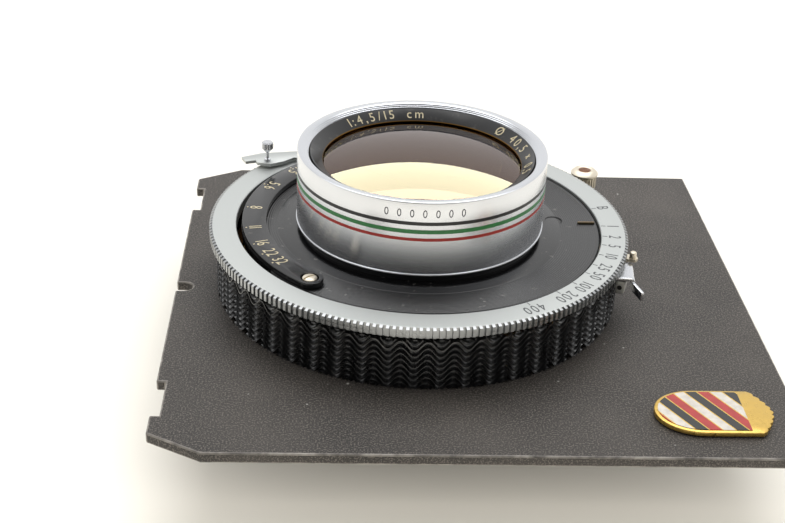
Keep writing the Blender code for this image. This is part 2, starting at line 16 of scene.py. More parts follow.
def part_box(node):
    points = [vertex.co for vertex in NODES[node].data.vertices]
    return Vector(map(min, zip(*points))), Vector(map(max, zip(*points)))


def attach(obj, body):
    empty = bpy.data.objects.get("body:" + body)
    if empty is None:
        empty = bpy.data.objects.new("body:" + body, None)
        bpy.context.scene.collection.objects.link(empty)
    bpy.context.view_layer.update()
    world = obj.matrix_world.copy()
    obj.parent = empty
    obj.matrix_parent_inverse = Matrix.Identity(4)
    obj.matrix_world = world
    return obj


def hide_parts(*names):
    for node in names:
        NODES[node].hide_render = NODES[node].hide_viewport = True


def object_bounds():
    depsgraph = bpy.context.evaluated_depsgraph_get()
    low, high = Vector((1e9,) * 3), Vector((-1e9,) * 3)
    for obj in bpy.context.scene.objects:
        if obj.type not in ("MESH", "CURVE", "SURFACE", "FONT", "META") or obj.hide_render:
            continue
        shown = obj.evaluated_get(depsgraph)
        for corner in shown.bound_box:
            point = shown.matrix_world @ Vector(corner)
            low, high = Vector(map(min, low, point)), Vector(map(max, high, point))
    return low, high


bl_info = {
    "name": "Lens in a leaf shutter",
    "version": (1, 0, 0),
    "blender": (4, 5, 0),
    "location": "View3D > Sidebar > Lens",
    "description": "Builds the finished pieces and materials of a leaf-shutter lens on its board",
    "category": "Add Mesh",
}

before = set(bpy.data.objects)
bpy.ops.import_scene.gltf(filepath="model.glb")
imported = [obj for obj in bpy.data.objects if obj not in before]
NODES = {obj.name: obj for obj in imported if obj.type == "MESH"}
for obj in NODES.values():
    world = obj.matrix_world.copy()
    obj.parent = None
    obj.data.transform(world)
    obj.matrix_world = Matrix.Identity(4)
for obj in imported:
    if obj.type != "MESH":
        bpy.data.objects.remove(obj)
CAD_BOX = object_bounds()
MM = 0.001

RING_BOX, BOARD_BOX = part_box("speed_ring"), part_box("lens_board")
AXIS = Vector((0.5 * (RING_BOX[0].x + RING_BOX[1].x), 0.5 * (RING_BOX[0].y + RING_BOX[1].y), BOARD_BOX[1].z))
BODY = "shutter_body"


def corners(node):
    """A CAD node's lowest and highest corners and the (x, y) between them, in lens space."""
    low, high = ((corner - AXIS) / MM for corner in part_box(node))
    return low, high, (0.5 * (low.x + high.x), 0.5 * (low.y + high.y))


def reach(node):
    """A round CAD node's radius, lowest point and highest point, in lens space."""
    low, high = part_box(node)
    return (high.x - AXIS.x) / MM, (low.z - AXIS.z) / MM, (high.z - AXIS.z) / MM


RING_R, RING_LOW, RING_HIGH = reach("speed_ring")
CASE_R, CASE_LOW, CASE_HIGH = reach("shutter_housing")
BARREL_R, THREAD_LOW, BARREL_HIGH = reach("front_barrel")
FACE_R, FACE_LOW, FACE_HIGH = reach("face_plate")
SCALE_HIGH = reach("aperture_scale_plate")[2]
BARREL_LOW = FACE_HIGH + 1.3    # the chrome ends here, above a black collar


def srgb(code):
    """A colour such as "#D8D9DB", turned to linear RGBA."""
    parts = [int(code[i:i + 2], 16) / 255.0 for i in (1, 3, 5)]
    return tuple(c / 12.92 if c <= 0.04045 else ((c + 0.055) / 1.055) ** 2.4 for c in parts) + (1.0,)


# --- what a user can change ---
def length(name, description, default):
    return FloatProperty(name=name, description=description, default=default * MM, unit="LENGTH", precision=5)


def colour(name, description, code):
    return FloatVectorProperty(name=name, description=description, default=srgb(code), size=4,
                               subtype="COLOR", min=0.0, max=1.0)


class LensColours(bpy.types.PropertyGroup):
    """Colours of the plated, painted and coated surfaces."""
    satin: colour("Satin chrome", "Speed ring and aperture lever", "#C3C6C4")
    bright: colour("Bright chrome", "Front cell, grip pin and cocking lever", "#DADCE0")
    nickel: colour("Nickel", "Screws, socket and stud", "#E6DDCB")
    cut: colour("Cut chrome", "Teeth of the speed ring", "#A9ABAC")
    brass: colour("Brass", "Inner rings", "#B8924A")
    gilt: colour("Gilt", "Badge", "#E0BC68")
    steel: colour("Blackened steel", "Leaves and plates", "#2B2C30")
    lacquer: colour("Black lacquer", "Shutter casing and cells", "#1A1A1B")
    board: colour("Board enamel", "Crinkle enamel of the lens board", "#292623")
    crest: colour("Enamel crests", "Rubbed tops of the crinkle", "#6C655E")
    figures: colour("Aperture figures", "Filled figures of the aperture scale and name ring", "#E9DBB5")
    speeds: colour("Speed figures", "Filled figures of the speed ring", "#55575A")
    green: colour("Green line", "Middle line round the front cell", "#2C8040")
    red: colour("Red line", "Lower line round the front cell", "#B02A20")
    coating: colour("Lens coating", "Tint that the coating gives to reflections", "#FFD7C5")
    floor: colour("Floor", "Paper under the object", "#F5F2EA")


class LensSizes(bpy.types.PropertyGroup):
    """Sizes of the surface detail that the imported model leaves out."""
    board_edge: length("Board edge", "Rounding of the board's edges", 0.28)
    wave_count: IntProperty(name="Waves", description="Waves round the casing's grip", default=52, min=8)
    wave_pitch: length("Wave spacing", "Height from one wave line to the next", 1.02)
    wave_swing: length("Wave swing", "How far a wave line rises and falls", 0.8)
    wave_depth: length("Wave depth", "Depth of the valleys between wave lines", 0.7)
    knurl_count: IntProperty(name="Knurl teeth", description="Teeth round the speed ring", default=220,
                             min=20)
    knurl_depth: length("Knurl depth", "Depth of the cuts between the teeth", 0.5)
    turn_pitch: length("Turned groove spacing", "Spacing of the fine grooves on the face plate", 0.36)
    turn_depth: length("Turned groove depth", "Depth of the fine grooves on the face plate", 0.05)


class LensStage(bpy.types.PropertyGroup):
    """Camera and light. Places are measured from the optical axis at the board's top face."""
    camera_place: FloatVectorProperty(name="Camera place", description="Where the camera stands", size=3,
                                      default=(-0.0153, -0.2152, 0.1214), subtype="TRANSLATION",
                                      unit="LENGTH")
    camera_pan: FloatProperty(name="Pan", description="Camera's turn to the right", default=radians(2.93),
                              subtype="ANGLE")
    camera_tilt: FloatProperty(name="Tilt", description="Camera's dip below level", default=radians(28.69),
                               subtype="ANGLE")
    camera_roll: FloatProperty(name="Roll", description="Camera's lean", default=radians(2.38),
                               subtype="ANGLE")
    camera_lens: FloatProperty(name="Focal length", description="Camera's focal length", default=64.13,
                               unit="CAMERA")
    sky: FloatProperty(name="Sky", description="Strength of the light from all round", default=1.0, min=0.0)
    key: FloatProperty(name="Top light", description="Power of the soft box overhead", default=6.0, min=0.0,
                       unit="POWER")
    fill: FloatProperty(name="Floor light", description="Power of the soft box for the floor in front",
                        default=10.0, min=0.0, unit="POWER")
    glass: FloatProperty(name="Glass light", description="Power of the soft box that the lens reflects",
                         default=13.0, min=0.0, unit="POWER")


def sizes():
    return bpy.context.scene.lens_sizes


def colours():
    return bpy.context.scene.lens_colours


# --- materials ---
def add(tree, kind, settings=None, links=None):
    """Adds a node. Settings set its properties or sockets, and links join its sockets to outputs."""
    node = tree.nodes.new(kind)
    for key, value in (settings or {}).items():
        if isinstance(key, str) and hasattr(node, key):
            setattr(node, key, value)
        else:
            node.inputs[key].default_value = value
    for key, source in (links or {}).items():
        tree.links.new(source, node.inputs[key])
    return node


def start(name, settings):
    """A new material with its shader's constants set, or the one already made and no tree."""
    made = bpy.data.materials.get(name)
    if made:
        return made, None, None
    made = bpy.data.materials.new(name)
    made.use_nodes = True
    shader = made.node_tree.nodes["Principled BSDF"]
    for key, value in settings.items():
        shader.inputs[key].default_value = value
    return made, made.node_tree, shader


def centred(tree):
    """Object coordinates measured from the optical axis."""
    where = add(tree, "ShaderNodeTexCoord")
    return add(tree, "ShaderNodeMapping", {"Location": -AXIS}, {"Vector": where.outputs["Object"]}).outputs[0]


def turning_marks(tree, spacing):
    """Noise that changes only with radius and height, as a lathe tool's marks do."""
    parts = add(tree, "ShaderNodeSeparateXYZ", None, {0: centred(tree)})
    flat = add(tree, "ShaderNodeCombineXYZ", None, {0: parts.outputs[0], 1: parts.outputs[1]})
    radius = add(tree, "ShaderNodeVectorMath", {"operation": "LENGTH"}, {0: flat.outputs[0]})
    line = add(tree, "ShaderNodeCombineXYZ", None, {0: radius.outputs["Value"], 1: parts.outputs[2]})
    return add(tree, "ShaderNodeTexNoise", {"Scale": 1.0 / (spacing * MM), "Detail": 2.0},
               {"Vector": line.outputs[0]}).outputs[0]


def speckle(tree, spacing, detail=3.0, distortion=0.0):
    """Noise with features of a size in millimetres."""
    return add(tree, "ShaderNodeTexNoise", {"Scale": 1.0 / (spacing * MM), "Detail": detail,
                                            "Distortion": distortion}, {"Vector": centred(tree)}).outputs[0]


def bump(tree, shader, height, strength, depth):
    """Bump of a depth in millimetres."""
    node = add(tree, "ShaderNodeBump", {"Strength": strength, "Distance": depth * MM}, {"Height": height})
    tree.links.new(node.outputs[0], shader.inputs["Normal"])


def spread(tree, value, low, high, to_low, to_high):
    """Stretches a value from one range to another and clips it there."""
    limits = {"From Min": low, "From Max": high, "To Min": to_low, "To Max": to_high}
    return add(tree, "ShaderNodeMapRange", limits, {"Value": value}).outputs[0]


def blend(tree, factor, first, second):
    """A mix of two colours, each a constant or an output."""
    node = add(tree, "ShaderNodeMix", {"data_type": "RGBA"}, {0: factor})
    for socket, value in ((6, first), (7, second)):
        if isinstance(value, bpy.types.NodeSocket):
            tree.links.new(value, node.inputs[socket])
        else:
            node.inputs[socket].default_value = value
    return node.outputs[2]


def turned_metal(name, tint, roughness, spacing=0.35, strength=0.25, swing=0.1, stretch=0.0):
    """Turned and plated metal. Tool marks run round the axis and handling leaves soft smudges in the gloss.
    stretch is how far the marks draw out what the metal mirrors."""
    made, tree, shader = start(name, {"Base Color": tint, "Metallic": 1.0, "Anisotropic": stretch})
    if tree:
        marks = turning_marks(tree, spacing)
        both = add(tree, "ShaderNodeMath", {"operation": "ADD"}, {0: marks, 1: speckle(tree, 9.0)}).outputs[0]
        tree.links.new(spread(tree, both, 0.7, 1.3, roughness - 0.5 * swing, roughness + swing),
                       shader.inputs["Roughness"])
        bump(tree, shader, marks, strength, 0.02)
    if tree and stretch:
        shader.inputs["Anisotropic Rotation"].default_value = 0.25
        round_axis = add(tree, "ShaderNodeTangent", {"direction_type": "RADIAL", "axis": "Z"})
        tree.links.new(round_axis.outputs[0], shader.inputs["Tangent"])
    return made


def satin_chrome():
    """Chrome plate over a matted base: pearly and nearly white, with soft highlights."""
    return turned_metal("pearl_chrome", colours().satin, 0.5, 0.3, 0.05, 0.04)


def bright_chrome():
    """Fine-turned chrome plate: its grooves run round the axis, so what it mirrors is drawn out upright."""
    return turned_metal("bright_turned_chrome", colours().bright, 0.23, 0.25, 0.002, 0.02, stretch=0.7)


def nickel_plate():
    """Nickel plate: warmer than chrome and dulled by handling."""
    return turned_metal("nickel_plate", colours().nickel, 0.38, 0.5, 0.1, 0.1)


def aged_brass():
    """Bare brass inside the shutter: satin, uneven from age."""
    return turned_metal("aged_brass", colours().brass, 0.33, 0.5, 0.2, 0.14)


def bronzed_bore():
    """Bronzed brass inside the cell, which glows brown through the edge of the glass."""
    return turned_metal("bronzed_bore", srgb("#6B4A28"), 0.35, 0.5, 0.2, 0.1)


def gilt_brass():
    """Stamped and gilt brass: bright yellow, with soft dents."""
    made, tree, shader = start("gilt_brass", {"Base Color": colours().gilt, "Metallic": 1.0})
    if tree:
        dents = speckle(tree, 0.7, 4.0)
        bump(tree, shader, dents, 0.5, 0.06)
        tree.links.new(spread(tree, dents, 0.3, 0.7, 0.24, 0.42), shader.inputs["Roughness"])
    return made


def blackened_steel():
    """Chemically blackened spring steel: dark, dry and faintly blue."""
    return turned_metal("blackened_steel", colours().steel, 0.42, 0.6, 0.2, 0.1)


def black_lacquer(name="stoved_lacquer", roughness=0.22, peel=0.12, gloss=0.25):
    """Stoved black lacquer: a glossy skin with faint orange peel and a little dust."""
    made, tree, shader = start(name, {"Base Color": colours().lacquer, "Coat Weight": gloss,
                                      "Coat Roughness": 0.15, "Roughness": roughness})
    if tree:
        bump(tree, shader, speckle(tree, 0.6, 4.0), peel, 0.03)
        dust = spread(tree, speckle(tree, 1.6, 6.0), 0.62, 0.74, 0.0, 1.0)
        tree.links.new(blend(tree, dust, colours().lacquer, srgb("#45423F")), shader.inputs["Base Color"])
        tree.links.new(spread(tree, speckle(tree, 6.0), 0.3, 0.7, roughness - 0.05, roughness + 0.1),
                       shader.inputs["Roughness"])
    return made


def turned_black():
    """Black paint on a turned face: the tool's rings show through as even satin lines."""
    made, tree, shader = start("turned_black", {"Specular IOR Level": 0.85})
    if tree:
        marks = turning_marks(tree, 0.3)
        tree.links.new(spread(tree, marks, 0.3, 0.7, 0.2, 0.27), shader.inputs["Roughness"])
        dust = spread(tree, speckle(tree, 1.2, 6.0), 0.64, 0.74, 0.0, 1.0)
        tree.links.new(blend(tree, dust, srgb("#0D0D0E"), srgb("#5A5854")), shader.inputs["Base Color"])
    return made


def crinkle_enamel():
    """Crinkle enamel: wrinkles 0.3 mm apart with rubbed grey crests, dry to the eye, and some lint."""
    made, tree, shader = start("crinkle_enamel", {})
    if tree:
        wrinkle = speckle(tree, 0.27, 8.0)
        bump(tree, shader, wrinkle, 1.0, 0.14)
        crest = spread(tree, wrinkle, 0.5, 0.62, 0.0, 1.0)
        cloud = spread(tree, speckle(tree, 22.0, 4.0), 0.3, 0.7, 0.0, 0.35)
        base = blend(tree, cloud, colours().board, colours().crest)
        grain = blend(tree, crest, base, colours().crest)
        lint = add(tree, "ShaderNodeTexVoronoi", {"Scale": 330.0}, {"Vector": centred(tree)})
        near = spread(tree, lint.outputs["Distance"], 0.03, 0.09, 1.0, 0.0)
        pick = add(tree, "ShaderNodeSeparateColor", None, {0: lint.outputs["Color"]})
        rare = add(tree, "ShaderNodeMath", {"operation": "GREATER_THAN", 1: 0.9}, {0: pick.outputs[0]})
        speck = add(tree, "ShaderNodeMath", {"operation": "MULTIPLY"}, {0: near, 1: rare.outputs[0]})
        tree.links.new(blend(tree, speck.outputs[0], grain, srgb("#C9C6C0")), shader.inputs["Base Color"])
        tree.links.new(spread(tree, wrinkle, 0.3, 0.7, 0.62, 0.48), shader.inputs["Roughness"])
    return made


def worn_edge_and_highlight():
    """The board's rubbed edge, where the enamel is thin and patchy over pale metal. Its pale colour is also,
    in part, a painted highlight along the rounded edge.
    """
    made, tree, shader = start("worn_edge_and_highlight", {"Metallic": 0.2, "Roughness": 0.45})
    if tree:
        rub = spread(tree, speckle(tree, 2.2, 6.0), 0.3, 0.7, 0.0, 1.0)
        tree.links.new(blend(tree, rub, srgb("#4E4A46"), srgb("#A8A29A")), shader.inputs["Base Color"])
    return made


def filled_paint(name, tint, roughness=0.45):
    """Thick paint wiped into an engraved line: slightly matt and uneven."""
    made, tree, shader = start(name, {"Roughness": roughness})
    if tree:
        fill = speckle(tree, 0.35, 2.0)
        bump(tree, shader, fill, 0.3, 0.02)
        darker = tuple(0.72 * c for c in tint[:3]) + (1.0,)
        tree.links.new(blend(tree, spread(tree, fill, 0.35, 0.65, 0.0, 1.0), darker, tint),
                       shader.inputs["Base Color"])
    return made


def fired_enamel(name, tint):
    """Glass enamel melted into a stamped cell: wet-looking, with uneven patches of deeper colour."""
    made, tree, shader = start(name, {"Roughness": 0.12, "Coat Weight": 0.5, "Coat Roughness": 0.04})
    if tree:
        pool = speckle(tree, 1.4, 2.0)
        bump(tree, shader, pool, 0.25, 0.05)
        darker = tuple(0.8 * c for c in tint[:3]) + (1.0,)
        tree.links.new(blend(tree, spread(tree, pool, 0.35, 0.65, 0.0, 1.0), darker, tint),
                       shader.inputs["Base Color"])
    return made


def lens_glass(name, index, tint):
    """Polished optical glass. Its coating tints what it reflects, and cleaning leaves a faint haze."""
    made, tree, shader = start(name, {"Base Color": srgb("#F4EADB"), "IOR": index, "Transmission Weight": 1.0,
                                      "Specular Tint": tint})
    if tree:
        haze = spread(tree, speckle(tree, 5.0, 4.0), 0.5, 0.8, 0.0, 0.03)
        tree.links.new(haze, shader.inputs["Roughness"])
    return made


def rim_paint_and_reflection():
    """Black edging paint seen through the glass. Its brown is a painted reflection: the tint that the coating
    gives, put into the paint's colour.
    """
    return filled_paint("edging_paint_and_reflection", srgb("#3A2413"), 0.35)


# --- shapes ---
def polar(radius, angle, height=0.0):
    """A point at an angle in degrees round the axis."""
    return Vector((radius * cos(radians(angle)), radius * sin(radians(angle)), height))


def arc(radius, first, last, count, centre=(0.0, 0.0)):
    """(x, y) points on an arc, both ends included."""
    angles = [radians(first + (last - first) * i / count) for i in range(count + 1)]
    return [(centre[0] + radius * cos(a), centre[1] + radius * sin(a)) for a in angles]


def bearing(point):
    """A point's angle round the axis in degrees."""
    return degrees(atan2(point.y, point.x))


def within(point, span):
    """Whether a point's angle is in a span of degrees that may pass 180."""
    return (bearing(point) - span[0]) % 360.0 <= span[1] - span[0]


def spin(profile, steps, closed=True, work=None, centre=(0.0, 0.0)):
    """Turns a profile of (radius, height) points round an upright line."""
    work = work or bmesh.new()
    fresh = [work.verts.new((centre[0] + r, centre[1], z)) for r, z in profile]
    pairs = list(zip(fresh, fresh[1:])) + ([(fresh[-1], fresh[0])] if closed else [])
    edges = [work.edges.new(pair) for pair in pairs]
    bmesh.ops.spin(work, geom=fresh + edges, cent=(*centre, 0.0), axis=(0, 0, 1), angle=2 * pi, steps=steps,
                   use_merge=True)
    bmesh.ops.remove_doubles(work, verts=work.verts, dist=1e-5)
    return work


def prism(outline, low, high, work=None):
    """A closed outline raised to a solid."""
    work = work or bmesh.new()
    face = work.faces.new([work.verts.new((x, y, low)) for x, y in outline])
    raised = bmesh.ops.extrude_face_region(work, geom=[face])["geom"]
    bmesh.ops.translate(work, vec=(0, 0, high - low), verts=only_verts(raised))
    return work


def only_verts(geom):
    return [each for each in geom if isinstance(each, bmesh.types.BMVert)]


def cut(work, place, normal, drop_outer=False):
    """Cuts a working mesh along a plane, and may drop what lies beyond it."""
    bmesh.ops.bisect_plane(work, geom=work.verts[:] + work.edges[:] + work.faces[:], plane_co=place,
                           plane_no=normal, clear_outer=drop_outer)


def turn(work, angle):
    """Turns a working mesh about the optical axis."""
    bmesh.ops.rotate(work, cent=(0, 0, 0), matrix=Matrix.Rotation(radians(angle), 3, "Z"), verts=work.verts)
    return work


def shift(work, spot):
    """Moves a working mesh from the optical axis to an (x, y) place."""
    bmesh.ops.translate(work, vec=(*spot, 0.0), verts=work.verts)
    return work


def carry(part, work):
    """Adds one working mesh to another and frees it."""
    mesh = bpy.data.meshes.new("carried")
    part.to_mesh(mesh)
    part.free()
    work.from_mesh(mesh)
    bpy.data.meshes.remove(mesh)


def flute(work, steps, every, depth, where):
    """Pulls every so many columns of a turned shape inwards to cut flutes."""
    for vert in work.verts:
        radius = hypot(vert.co.x, vert.co.y)
        column = round((bearing(vert.co) % 360.0) / 360.0 * steps)
        if radius > 1e-4 and where(radius, vert.co.z) and column % every == 0:
            vert.co.xy *= (radius - depth) / radius
    return work


def bar(near, far, half, low, high):
    """A straight bar along a radius."""
    return prism([(near, -half), (far, -half), (far, half), (near, half)], low, high)


def dome(radius, top, rise, steps=6):
    """(radius, height) points over a domed top, from its crown out to its rim."""
    angles = [radians(90.0 * i / steps) for i in range(steps + 1)]
    return [(radius * sin(a), top - rise * (1.0 - cos(a))) for a in angles]


def merged_copy(node):
    """A CAD node's mesh as one clean mesh in lens space."""
    work = bmesh.new()
    work.from_mesh(NODES[node].data)
    bmesh.ops.transform(work, matrix=Matrix.Scale(1.0 / MM, 4) @ Matrix.Translation(-AXIS), verts=work.verts)
    bmesh.ops.remove_doubles(work, verts=work.verts, dist=1e-3)
    bmesh.ops.dissolve_limit(work, angle_limit=radians(1.0), verts=work.verts, edges=work.edges)
    return work


def soften(work, width, segments=2, sharper_than=40.0, material=-1, where=None):
    """Bevels the edges that turn by more than an angle."""
    bmesh.ops.recalc_face_normals(work, faces=work.faces)
    edges = [e for e in work.edges if e.is_manifold and e.calc_face_angle(0.0) > radians(sharper_than)
             and (where is None or where(e))]
    bmesh.ops.bevel(work, geom=edges, offset=width, offset_type="OFFSET", segments=segments, profile=0.5,
                    affect="EDGES", clamp_overlap=True, material=material)
    return work


def paint_faces(work, index, where):
    """Gives a material slot to the faces whose middle passes a test."""
    for face in work.faces:
        if where(face.calc_center_median()):
            face.material_index = index
    return work


def finish_piece(work, name, body, materials, replaces=(), smooth=32.0):
    """Moves a mesh from lens space to the frame and makes it a piece that rides on a body."""
    bmesh.ops.remove_doubles(work, verts=work.verts, dist=1e-5)
    bmesh.ops.recalc_face_normals(work, faces=work.faces)
    bmesh.ops.transform(work, matrix=Matrix.Translation(AXIS) @ Matrix.Scale(MM, 4), verts=work.verts)
    mesh = bpy.data.meshes.new(name)
    work.to_mesh(mesh)
    work.free()
    if not mesh.polygons:
        raise RuntimeError(f"{name} has no faces")
    for each in materials:
        mesh.materials.append(each)
    mesh.shade_smooth()
    mesh.set_sharp_from_angle(angle=radians(smooth))
    piece = bpy.data.objects.new(name, mesh)
    bpy.context.scene.collection.objects.link(piece)
    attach(piece, body)
    if replaces:
        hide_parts(*replaces)
    return piece


def finish_node(node, material):
    """Gives a carried-over CAD node its finished material."""
    slots = NODES[node].material_slots
    if not slots:
        raise RuntimeError(f"{node} has no material slot")
    for each in slots:
        each.material = material


def glyph(letter, size):
    """One character as a thin solid mesh with its left edge at zero, and its width."""
    text = bpy.data.curves.new("glyph", "FONT")
    text.body, text.size, text.extrude, text.resolution_u = letter, size, 0.015, 3
    holder = bpy.data.objects.new("glyph", text)
    bpy.context.scene.collection.objects.link(holder)
    seen = holder.evaluated_get(bpy.context.evaluated_depsgraph_get())
    mesh = bpy.data.meshes.new_from_object(seen)
    bpy.data.objects.remove(holder, do_unlink=True)
    left = min(v.co.x for v in mesh.vertices)
    width = max(v.co.x for v in mesh.vertices) - left
    mesh.transform(Matrix.Translation((-left, 0.0, 0.0)))
    return mesh, width


def letter_ring(work, words, size, radius, angle, height, outward=True, slope=0.0, gap=0.22, narrow=1.0,
                on_wall=False):
    """Writes words round the axis, centred on an angle. Their tops point outward or inward, or on a wall
    down. slope tips them towards the axis to lie on a cone."""
    glyphs = [(None, 0.45 * size) if c == " " else glyph(c, size) for c in words]
    along = -0.5 * (sum(width * narrow + gap * size for _, width in glyphs) - gap * size)
    for mesh, width in glyphs:
        past = degrees((along + 0.5 * width * narrow) / radius)
        at = angle - past if outward or on_wall else angle + past
        if mesh:
            out = polar(1.0, at)
            if on_wall:
                face, up = out, Vector((0.0, 0.0, -1.0))
            else:
                face = Vector((0.0, 0.0, cos(radians(slope)))) - out * sin(radians(slope))
                up = out if outward else -out
                up = (up - face * up.dot(face)).normalized()
            rows = Matrix((up.cross(face) * narrow, up, face)).transposed().to_4x4()
            middle = Matrix.Translation((-0.5 * width, -0.35 * size, 0.0))
            mesh.transform(Matrix.Translation(polar(radius, at, height)) @ rows @ middle)
            work.from_mesh(mesh)
        along += width * narrow + gap * size
    return work


# --- one operator for each group of pieces ---
class LENS_OT_board(bpy.types.Operator):
    """Lens board with rounded, rubbed edges whose pale colour is partly a painted highlight, and what holds
    the shutter to it
    """
    bl_idname = "lens.board"
    bl_label = "Lens board"

    def execute(self, context):
        edge = sizes().board_edge / MM
        # material=1 gives the bevel faces the pale edge finish: rubbed enamel and, in part, a painted
        # highlight.
        board = soften(merged_copy("lens_board"), edge, 3, material=1)
        finish_piece(board, "lens_board_finish", BODY, [crinkle_enamel(), worn_edge_and_highlight()],
                     ["lens_board"])
        trap = soften(merged_copy("light_trap_frame"), 0.3)
        finish_piece(trap, "light_trap_finish", BODY, [black_lacquer()],
                     ["light_trap_frame"])
        ring = soften(merged_copy("retaining_ring"), 0.25)
        finish_piece(ring, "retaining_ring_finish", BODY, [blackened_steel()],
                     ["retaining_ring"])
        self.rivets()
        finish_node("seal_washer", black_lacquer())
        return {"FINISHED"}

    def rivets(self):
        """Domed rivet heads under the light-trap frame."""
        work, names = bmesh.new(), [f"frame_rivet_{i}" for i in range(1, 5)]
        for name in names:
            low, high, spot = corners(name)
            radius = 0.5 * (high.x - low.x)
            head = dome(radius, low.z, -0.45)
            spin(head + [(radius, high.z), (0.0, high.z)], 32, closed=False, work=work, centre=spot)
        finish_piece(work, "frame_rivets_finish", BODY, [nickel_plate()], names)


class LENS_OT_badge(bpy.types.Operator):
    """Small gilt badge with plain striped enamel"""
    bl_idname = "lens.badge"
    bl_label = "Badge"

    def execute(self, context):
        low, high, _ = corners("badge_base")
        top = 1.0
        base = prism(self.outline(low, high, 0.0, True), low.z, top)
        soften(base, 0.14, 2, where=lambda e: all(v.co.z > 0.5 * (low.z + top) for v in e.verts))
        finish_piece(base, "badge_base_finish", BODY, [gilt_brass()], ["badge_base"])
        field = prism(self.outline(low, high, 0.55, False), top - 0.1, top + 0.12)
        lean = Vector((0.86, 0.5, 0.0)).normalized()
        first, stripe, wire = lean.dot(Vector((low.x, low.y, 0.0))) + 1.2, 1.75, 0.2
        for along in [first + stripe * i + side for i in range(12) for side in (0.0, wire)]:
            cut(field, lean * along, lean)

        def shade(point):
            along = (lean.dot(point) - first) / stripe
            return 3 if (along - floor(along)) * stripe < wire else floor(along) % 3

        for face in field.faces:
            face.material_index = shade(face.calc_center_median())
        fills = [fired_enamel("red_enamel", srgb("#C4342F")), fired_enamel("cream_enamel", srgb("#EFE8DC")),
                 fired_enamel("black_enamel", srgb("#262420")), gilt_brass()]
        finish_piece(field, "badge_enamel_finish", BODY, fills, ["badge_enamel"])
        return {"FINISHED"}

    def outline(self, low, high, inset, scalloped):
        """A round left end and straight sides. The right end is scalloped, or square and short of that."""
        middle, half = 0.5 * (low.y + high.y), 0.5 * (high.y - low.y) - inset
        left, right = low.x + inset, high.x
        oval = 1.25 * half
        turns = [radians(a) for a in range(0, 181, 6)]
        points = [(left + oval * (1.0 - sin(a)), middle + half * cos(a)) for a in turns]
        if not scalloped:
            return points + [(right - 4.6, middle - half), (right - 4.6, middle + half)]
        lobes, inner = 9, right - 3.0
        for i in range(lobes * 6 + 1):
            across = -1.0 + 2.0 * i / (lobes * 6)
            crown = inner + 2.6 * (1.0 - abs(across) ** 1.6)
            points.append((crown + 0.35 * abs(sin(pi * i / 6)), middle + half * across))
        return points


class LENS_OT_casing(bpy.types.Operator):
    """Shutter casing with its wavy grip"""
    bl_idname = "lens.casing"
    bl_label = "Shutter casing"

    def execute(self, context):
        inner, wall = CASE_R - 1.3, CASE_R - 1.7
        grip_top = reach("release_lever")[1] - 0.15
        floor_top, boss, bore, boss_low = CASE_LOW + 1.0, 20.4, 17.9, -6.5
        core = spin([(inner, grip_top), (inner, CASE_LOW), (boss, CASE_LOW), (boss, boss_low + 0.3),
                     (boss - 0.3, boss_low), (bore, boss_low), (bore, floor_top), (wall, floor_top),
                     (wall, grip_top)], 144)
        rim = [polar(r, -2.0, z) for r, z in ((wall, grip_top), (inner, grip_top), (inner, CASE_HIGH),
                                              (wall, CASE_HIGH))]
        face = core.faces.new([core.verts.new(point) for point in rim])
        bmesh.ops.spin(core, geom=[face], cent=(0, 0, 0), axis=(0, 0, 1), angle=radians(292.0), steps=112)
        finish_piece(core, "casing_core", BODY, [black_lacquer()], ["shutter_housing"])
        finish_piece(self.grip(inner, CASE_LOW, grip_top), "casing_grip", BODY,
                     [black_lacquer("grip_lacquer", 0.26, 0.03, 1.0)], smooth=60.0)
        return {"FINISHED"}

    def grip(self, inner, bottom, top):
        """Wave lines round the casing, cut straight at both edges and closed by an inner wall."""
        waves, pitch, swing = sizes().wave_count, sizes().wave_pitch / MM, sizes().wave_swing / MM
        depth, columns, rows = sizes().wave_depth / MM, 14, 7
        steps, first_trough = waves * columns, -148.9
        low, high = bottom - swing - 0.1, top + swing + 0.1
        count = int((high - low) / pitch * rows)
        work = spin([(CASE_R, low + (high - low) * i / count) for i in range(count + 1)], steps, closed=False)
        for vert in work.verts:
            ridge = (0.5 + 0.5 * cos(2 * pi * (vert.co.z - bottom) / pitch)) ** 2.6
            radius = CASE_R - depth * (1.0 - ridge)
            lift = -swing * cos(radians(bearing(vert.co) - first_trough) * waves)
            vert.co.xy *= radius / hypot(*vert.co.xy)
            vert.co.z += lift
        for level, side in ((bottom, -1.0), (top, 1.0)):
            cut(work, (0, 0, level), (0, 0, side), drop_outer=True)
        edges = [e for e in work.edges if e.is_boundary]
        for vert in only_verts(bmesh.ops.extrude_edge_only(work, edges=edges)["geom"]):
            angle = round(bearing(vert.co) / 360.0 * steps) * 360.0 / steps
            vert.co = polar(inner, angle, bottom if vert.co.z < 0.5 * (bottom + top) else top)
        bmesh.ops.remove_doubles(work, verts=work.verts, dist=1e-4)
        bmesh.ops.dissolve_degenerate(work, edges=work.edges, dist=1e-5)
        rims = [e for e in work.edges if e.is_boundary]
        bmesh.ops.bridge_loops(work, edges=rims)
        return work


